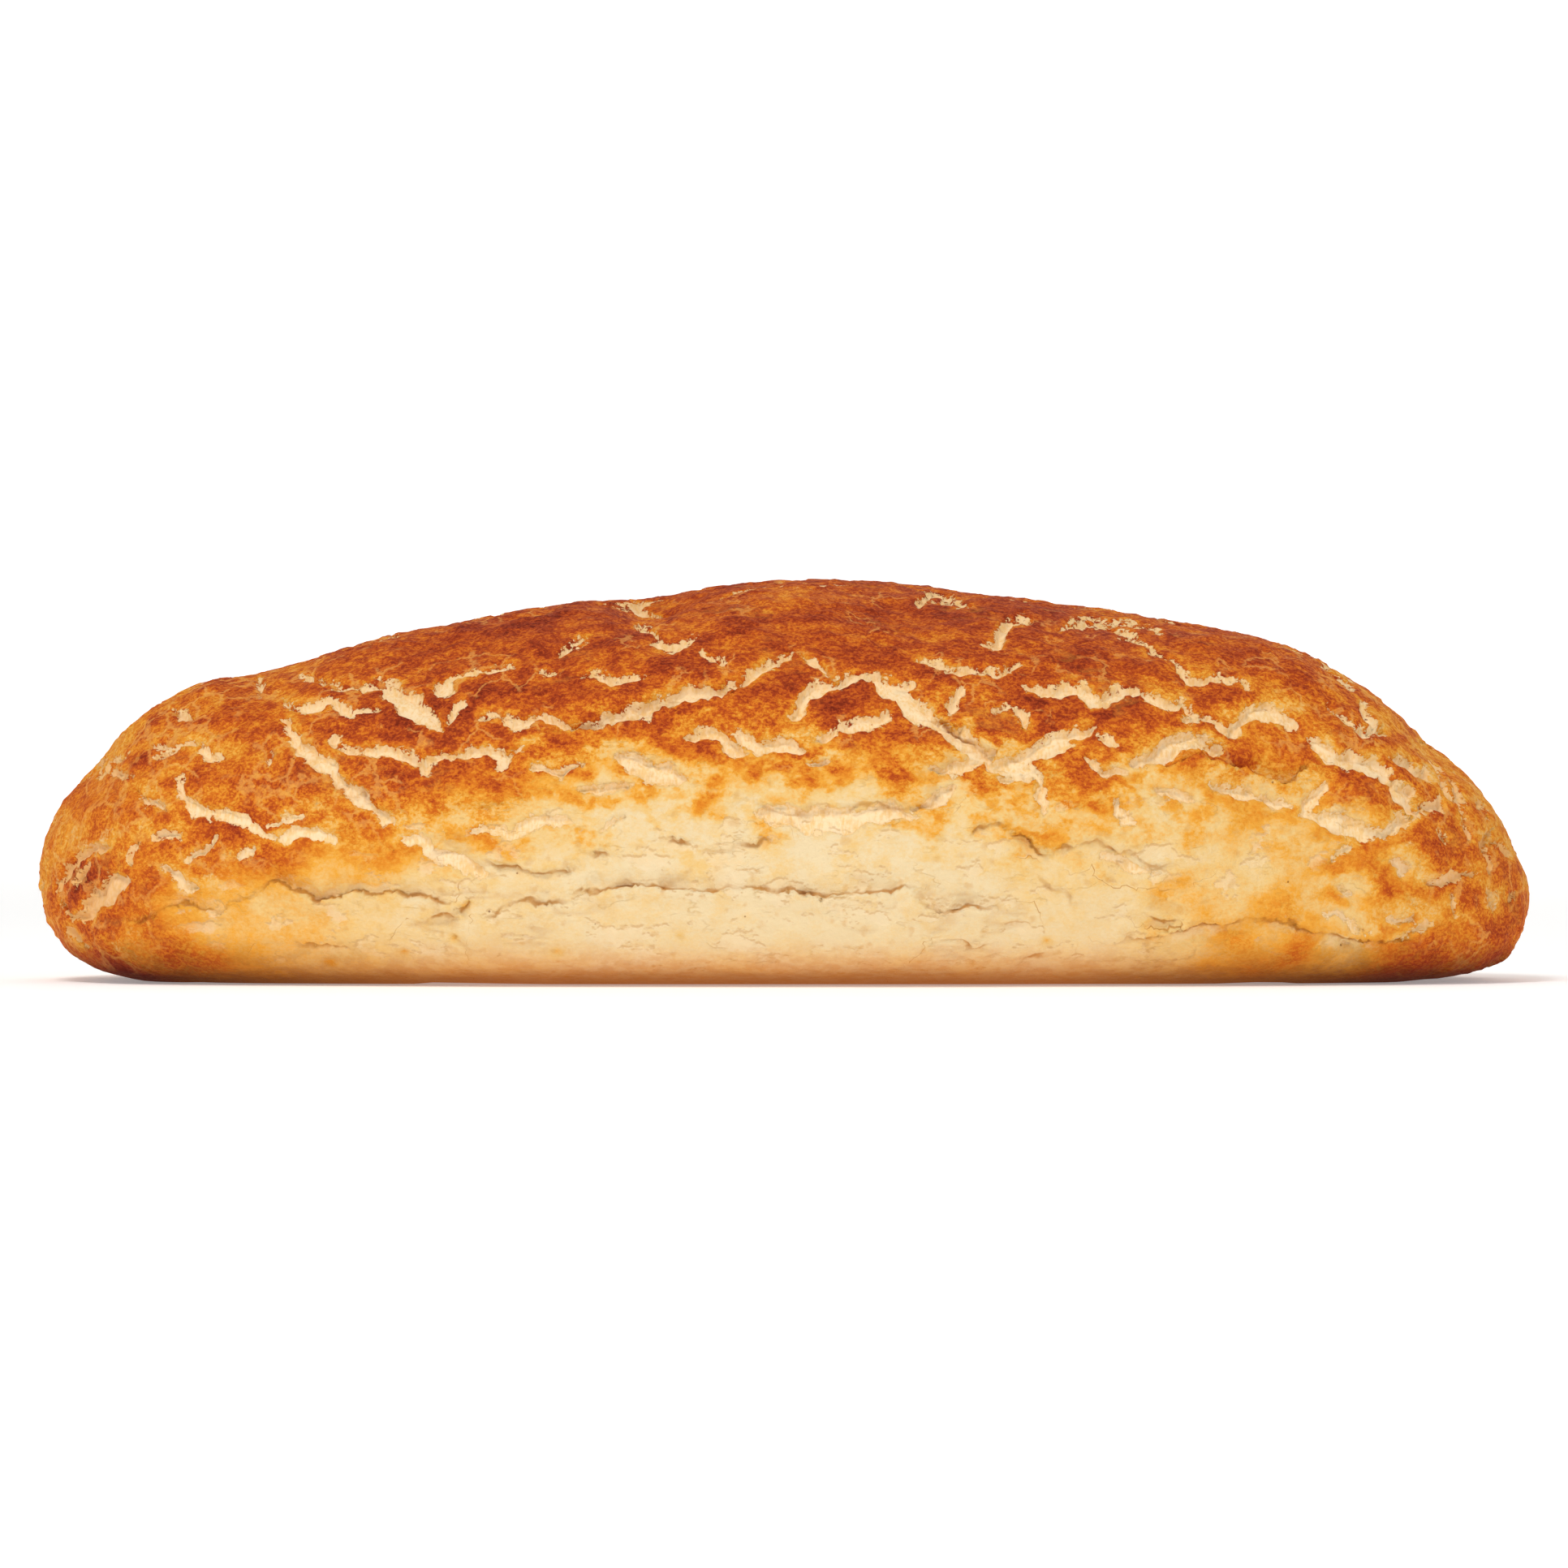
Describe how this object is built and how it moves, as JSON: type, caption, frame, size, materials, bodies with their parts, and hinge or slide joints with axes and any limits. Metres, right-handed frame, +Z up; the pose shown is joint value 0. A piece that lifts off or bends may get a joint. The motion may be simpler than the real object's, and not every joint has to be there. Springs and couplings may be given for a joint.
{
  "type": "tiger bread loaf",
  "caption": "Whole oven-baked tiger bread bloomer, an oblong loaf with a domed top, a flat base and a crazed, cracked rice-paste crust.",
  "frame": {"origin": "on the surface that the loaf rests on, under the middle of its bounding box", "axes": "+X along the loaf, -Y towards the side that the picture shows, +Z up"},
  "size_m": [0.33, 0.145, 0.0887],
  "materials": {
    "crust": "matt baked crust, mottled from dark brown to cream"
  },
  "bodies": {
    "root": {"loaf": "crust"}
  },
  "joints": []
}
